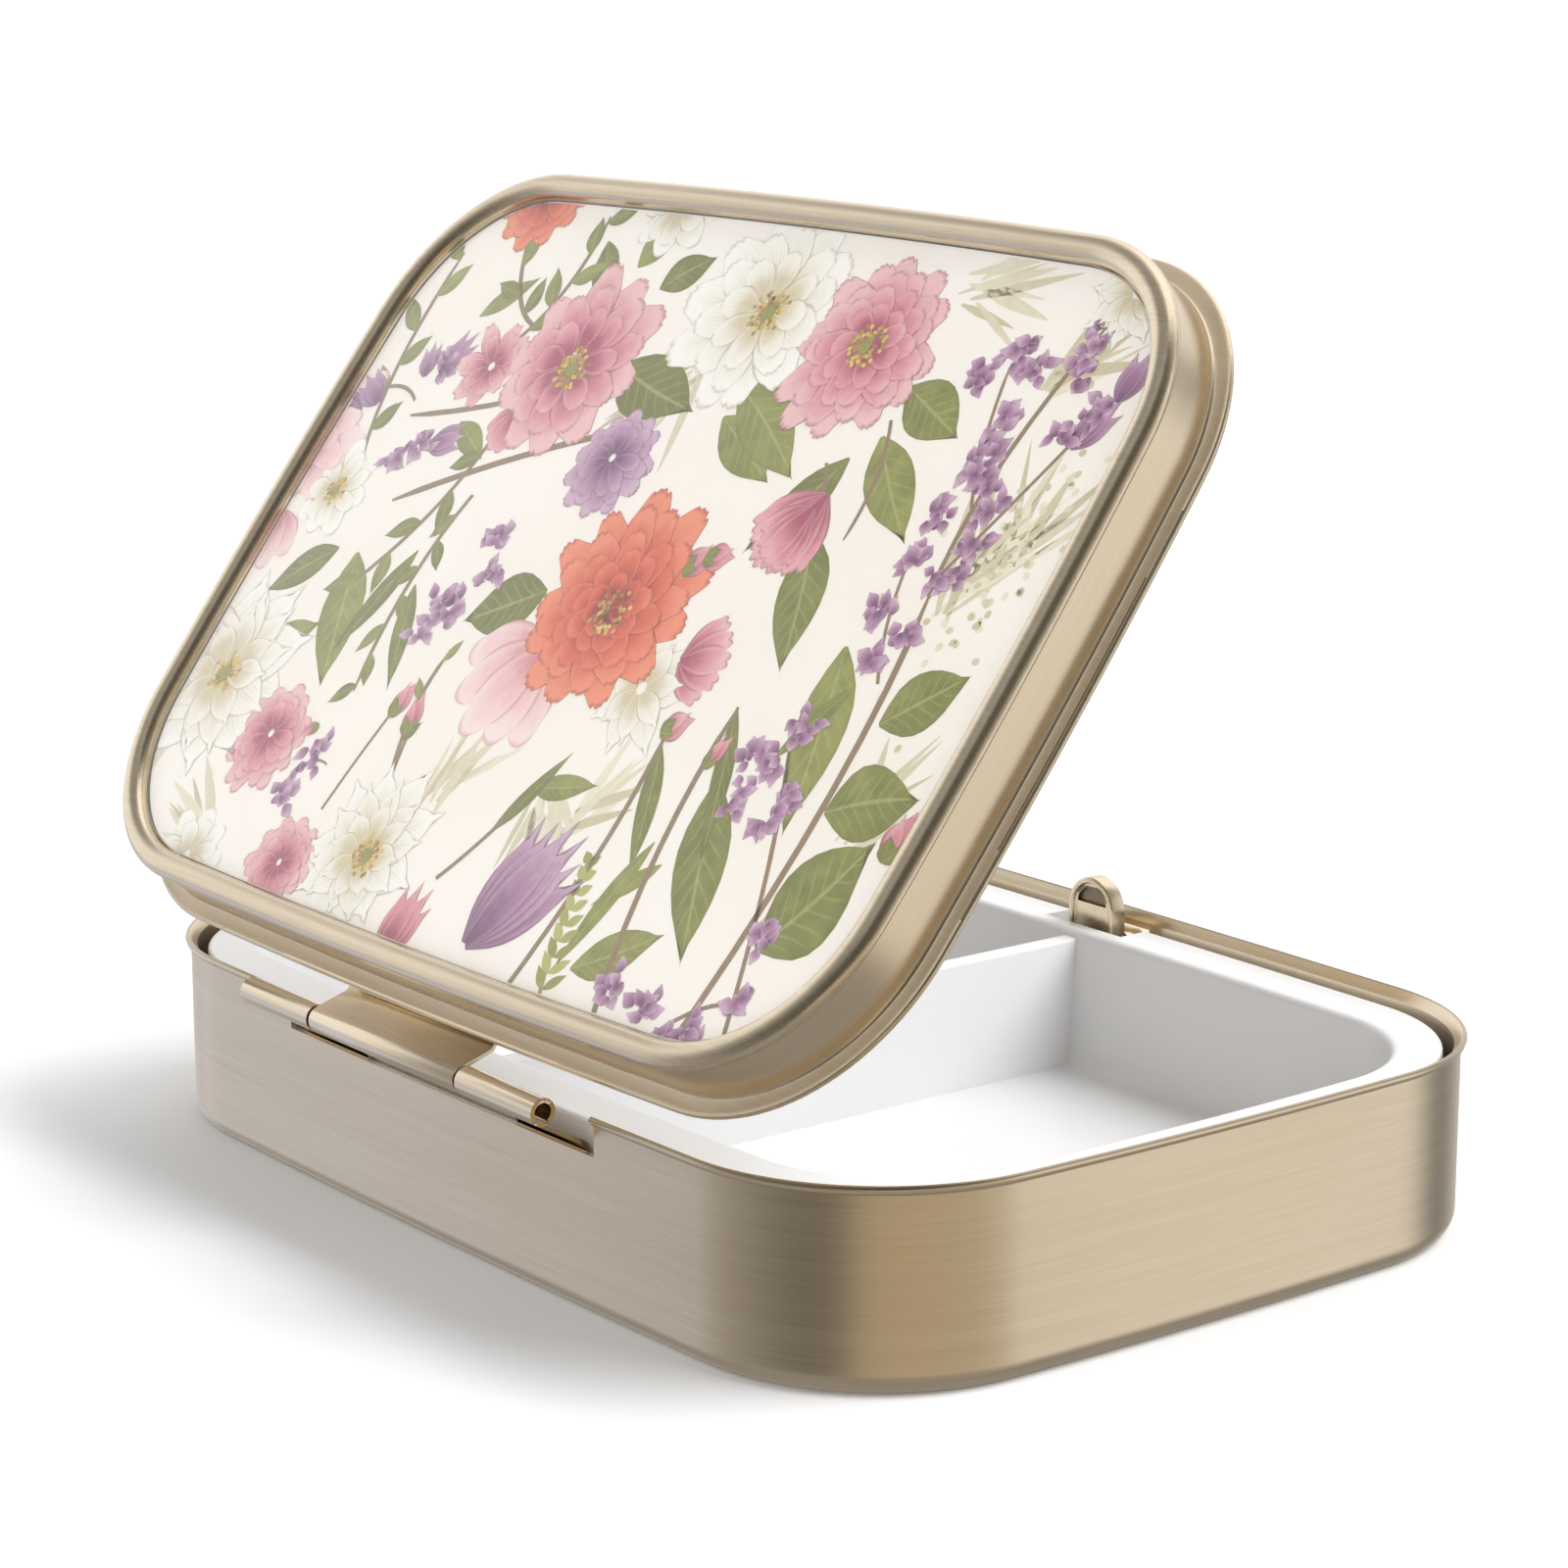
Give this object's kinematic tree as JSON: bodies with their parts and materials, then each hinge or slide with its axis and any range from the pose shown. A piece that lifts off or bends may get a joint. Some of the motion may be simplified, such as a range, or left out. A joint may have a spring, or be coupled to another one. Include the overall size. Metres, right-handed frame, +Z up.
{
  "type": "hinged pill box",
  "caption": "Rectangular metal pill box with a hinged picture lid, a spring latch and a lift-out divided tray.",
  "frame": {"origin": "centre of the base's flat underside", "axes": "+X along the hinge, +Y from the hinge to the latch, +Z up, with the lid resting open"},
  "size_m": [0.07, 0.0539, 0.0544],
  "materials": {
    "gold_metal": "brushed, pale gold plated",
    "white_plastic": "smooth moulded white",
    "print": "printed floral picture on cream",
    "clear_cover": "clear glossy dome"
  },
  "bodies": {
    "base": {"base_shell": "gold_metal", "base_hinge_leaf": "gold_metal", "hinge_pin": "gold_metal"},
    "tray": {"insert_tray": "white_plastic"},
    "latch": {"latch_tab": "gold_metal", "latch_rivet": "gold_metal", "latch_button": "gold_metal"},
    "lid": {"lid_shell": "gold_metal", "lid_hinge_leaf": "gold_metal", "lid_catch": "gold_metal", "print_card": "print", "cover_dome": "clear_cover"}
  },
  "joints": [
    {"name": "lid_hinge", "type": "hinge", "parent": "base", "child": "lid", "pos_m": [0, -0.0273, 0.01148], "axis": [1, 0, 0], "range_deg": [-52.8, 57.2]},
    {"name": "tray_lift", "type": "slide", "parent": "base", "child": "tray", "axis": [0, 0, 1], "range_m": [0, 0.0005]},
    {"name": "latch_press", "type": "hinge", "parent": "base", "child": "latch", "pos_m": [0, 0.02428, 0.0017], "axis": [1, 0, 0], "range_deg": [0, 2.9], "stiffness_Nm_per_rad": 0.2}
  ]
}
